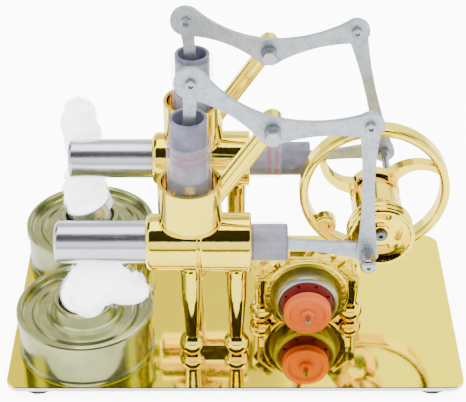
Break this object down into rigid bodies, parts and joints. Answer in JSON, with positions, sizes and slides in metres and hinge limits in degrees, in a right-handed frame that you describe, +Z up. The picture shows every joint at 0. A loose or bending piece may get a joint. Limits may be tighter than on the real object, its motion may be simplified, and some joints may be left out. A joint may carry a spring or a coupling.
{
  "type": "stirling engine model",
  "caption": "Desk hot-air engine: heated horizontal cylinders with upright power cylinders, rocking beams, crank, spoked flywheel, spirit burners and a small generator on a gold plate.",
  "frame": {"origin": "bottom centre of the bounding box, on the surface the rubber feet stand on", "axes": "+X along the plate from the burners to the flywheel, +Y to the back, +Z up"},
  "size_m": [0.17, 0.106, 0.1301],
  "materials": {
    "gold_plate": "mirror gold plated steel sheet",
    "gold_casting": "polished gold plated zinc casting",
    "stainless": "drawn stainless steel",
    "steel": "bright zinc plated steel",
    "aluminium_sheet": "tumbled satin aluminium",
    "glass": "clear borosilicate glass",
    "frosted_piston": "frosted translucent plastic",
    "red_ring": "dark red seal ring",
    "black_rubber": "matt black rubber",
    "lacquered_tin": "pale green gold lacquered tinplate",
    "cotton": "loose white cotton",
    "orange_plastic": "glossy moulded orange plastic",
    "red_cap": "red moulded end cap",
    "displacer_steel": "thin steel"
  },
  "bodies": {
    "engine_frame": {"base_plate": "gold_plate", "rubber_feet": "black_rubber", "base_screws": "steel", "rod_bushes": "gold_casting", "pivot_bolts": "steel", "bearing_bracket": "gold_casting", "shaft_bearings": "steel", "generator_can": "stainless", "generator_face": "red_cap", "front_cylinder_block": "gold_casting", "front_hot_cylinder": "stainless", "front_guide_tube": "glass", "front_glass_sleeve": "glass", "rear_cylinder_block": "gold_casting", "rear_hot_cylinder": "stainless", "rear_guide_tube": "glass", "rear_glass_sleeve": "glass"},
    "crank": {"crankshaft": "steel", "crank_pulley": "gold_casting", "flywheel": "gold_casting", "rear_crank_pin": "steel"},
    "generator_armature": {"generator_rotor": "steel", "generator_pulley": "orange_plastic"},
    "front_beam": {"front_beam": "aluminium_sheet", "front_beam_screws": "steel"},
    "front_power_piston": {"front_power_piston": "frosted_piston", "front_power_rings": "red_ring", "front_power_wrist_pin": "steel"},
    "front_piston_link": {"front_piston_link": "aluminium_sheet"},
    "front_vertical_rod": {"front_vertical_rod": "aluminium_sheet", "front_crank_bolt": "steel"},
    "front_guide_piston": {"front_guide_piston": "frosted_piston", "front_guide_rings": "red_ring", "front_guide_wrist_pin": "steel", "front_displacer": "displacer_steel", "front_displacer_rod": "steel"},
    "front_horizontal_rod": {"front_horizontal_rod": "aluminium_sheet", "front_crank_spacer": "steel"},
    "front_burner": {"front_burner_can": "lacquered_tin", "front_burner_lid": "lacquered_tin", "front_wick_cup": "stainless", "front_cotton_wick": "cotton"},
    "rear_beam": {"rear_beam": "aluminium_sheet", "rear_beam_screws": "steel"},
    "rear_power_piston": {"rear_power_piston": "frosted_piston", "rear_power_rings": "red_ring", "rear_power_wrist_pin": "steel"},
    "rear_piston_link": {"rear_piston_link": "aluminium_sheet"},
    "rear_vertical_rod": {"rear_vertical_rod": "aluminium_sheet"},
    "rear_guide_piston": {"rear_guide_piston": "frosted_piston", "rear_guide_rings": "red_ring", "rear_guide_wrist_pin": "steel", "rear_displacer": "displacer_steel", "rear_displacer_rod": "steel"},
    "rear_horizontal_rod": {"rear_horizontal_rod": "aluminium_sheet", "rear_crank_spacer": "steel"},
    "rear_burner": {"rear_burner_can": "lacquered_tin", "rear_burner_lid": "lacquered_tin", "rear_wick_cup": "stainless", "rear_cotton_wick": "cotton"}
  },
  "joints": [
    {"name": "crank_spin", "type": "hinge", "parent": "engine_frame", "child": "crank", "pos_m": [0.0528, -0.00543, 0.056], "axis": [0, -1, 0], "continuous": true},
    {"name": "generator_spin", "type": "hinge", "parent": "engine_frame", "child": "generator_armature", "pos_m": [0.0274, -0.01542, 0.018], "axis": [0, -1, 0], "continuous": true},
    {"name": "front_beam_rock", "type": "hinge", "parent": "engine_frame", "child": "front_beam", "pos_m": [0.0126, -0.03402, 0.1055], "axis": [0, -1, 0], "range_deg": [-5.2, 17.8]},
    {"name": "front_power_slide", "type": "slide", "parent": "engine_frame", "child": "front_power_piston", "axis": [0, 0, 1], "range_m": [-0.00922, 0.00283]},
    {"name": "front_link_swing", "type": "hinge", "parent": "front_beam", "child": "front_piston_link", "pos_m": [-0.01489, -0.03213, 0.1243], "axis": [0, -1, 0], "range_deg": [-6.08, 2.13]},
    {"name": "front_vertical_rod_swing", "type": "hinge", "parent": "front_beam", "child": "front_vertical_rod", "pos_m": [0.04583, -0.03213, 0.10761], "axis": [0, -1, 0], "range_deg": [-11.57, 3.73]},
    {"name": "front_guide_slide", "type": "slide", "parent": "engine_frame", "child": "front_guide_piston", "axis": [1, 0, 0], "range_m": [-0.0017, 0.0116]},
    {"name": "front_horizontal_rod_swing", "type": "hinge", "parent": "front_guide_piston", "child": "front_horizontal_rod", "pos_m": [0.01183, -0.03182, 0.056], "axis": [0, -1, 0], "range_deg": [-1.45, 6.98]},
    {"name": "front_burner_slide", "type": "slide", "parent": "engine_frame", "child": "front_burner", "axis": [-1, 0, 0], "range_m": [0, 0.06]},
    {"name": "rear_beam_rock", "type": "hinge", "parent": "engine_frame", "child": "rear_beam", "pos_m": [0.0126, 0.02098, 0.1055], "axis": [0, -1, 0], "range_deg": [-16.7, 6.3]},
    {"name": "rear_power_slide", "type": "slide", "parent": "engine_frame", "child": "rear_power_piston", "axis": [0, 0, 1], "range_m": [-0.00338, 0.00864]},
    {"name": "rear_link_swing", "type": "hinge", "parent": "rear_beam", "child": "rear_piston_link", "pos_m": [-0.01807, 0.02287, 0.11847], "axis": [0, -1, 0], "range_deg": [-2.33, 5.36]},
    {"name": "rear_vertical_rod_swing", "type": "hinge", "parent": "rear_beam", "child": "rear_vertical_rod", "pos_m": [0.04475, 0.02287, 0.11417], "axis": [0, -1, 0], "range_deg": [-4.66, 11.53]},
    {"name": "rear_guide_slide", "type": "slide", "parent": "engine_frame", "child": "rear_guide_piston", "axis": [1, 0, 0], "range_m": [-0.0121, 0.0012]},
    {"name": "rear_horizontal_rod_swing", "type": "hinge", "parent": "rear_guide_piston", "child": "rear_horizontal_rod", "pos_m": [0.02223, 0.02318, 0.056], "axis": [0, -1, 0], "range_deg": [-6.98, 1.14]},
    {"name": "rear_burner_slide", "type": "slide", "parent": "engine_frame", "child": "rear_burner", "axis": [-1, 0, 0], "range_m": [0, 0.06]}
  ],
  "couplings": [
    {"joint": "front_power_slide", "follows": "front_beam_rock", "m_per_rad": -0.029031},
    {"joint": "front_link_swing", "follows": "front_beam_rock", "ratio": -0.31322},
    {"joint": "front_vertical_rod_swing", "follows": "front_beam_rock", "ratio": -0.62201},
    {"joint": "front_horizontal_rod_swing", "follows": "front_guide_slide", "rad_per_m": 9.7511},
    {"joint": "rear_power_slide", "follows": "rear_beam_rock", "m_per_rad": -0.028943},
    {"joint": "rear_link_swing", "follows": "rear_beam_rock", "ratio": -0.29118},
    {"joint": "rear_vertical_rod_swing", "follows": "rear_beam_rock", "ratio": -0.66054},
    {"joint": "rear_horizontal_rod_swing", "follows": "rear_guide_slide", "rad_per_m": 9.3481}
  ]
}
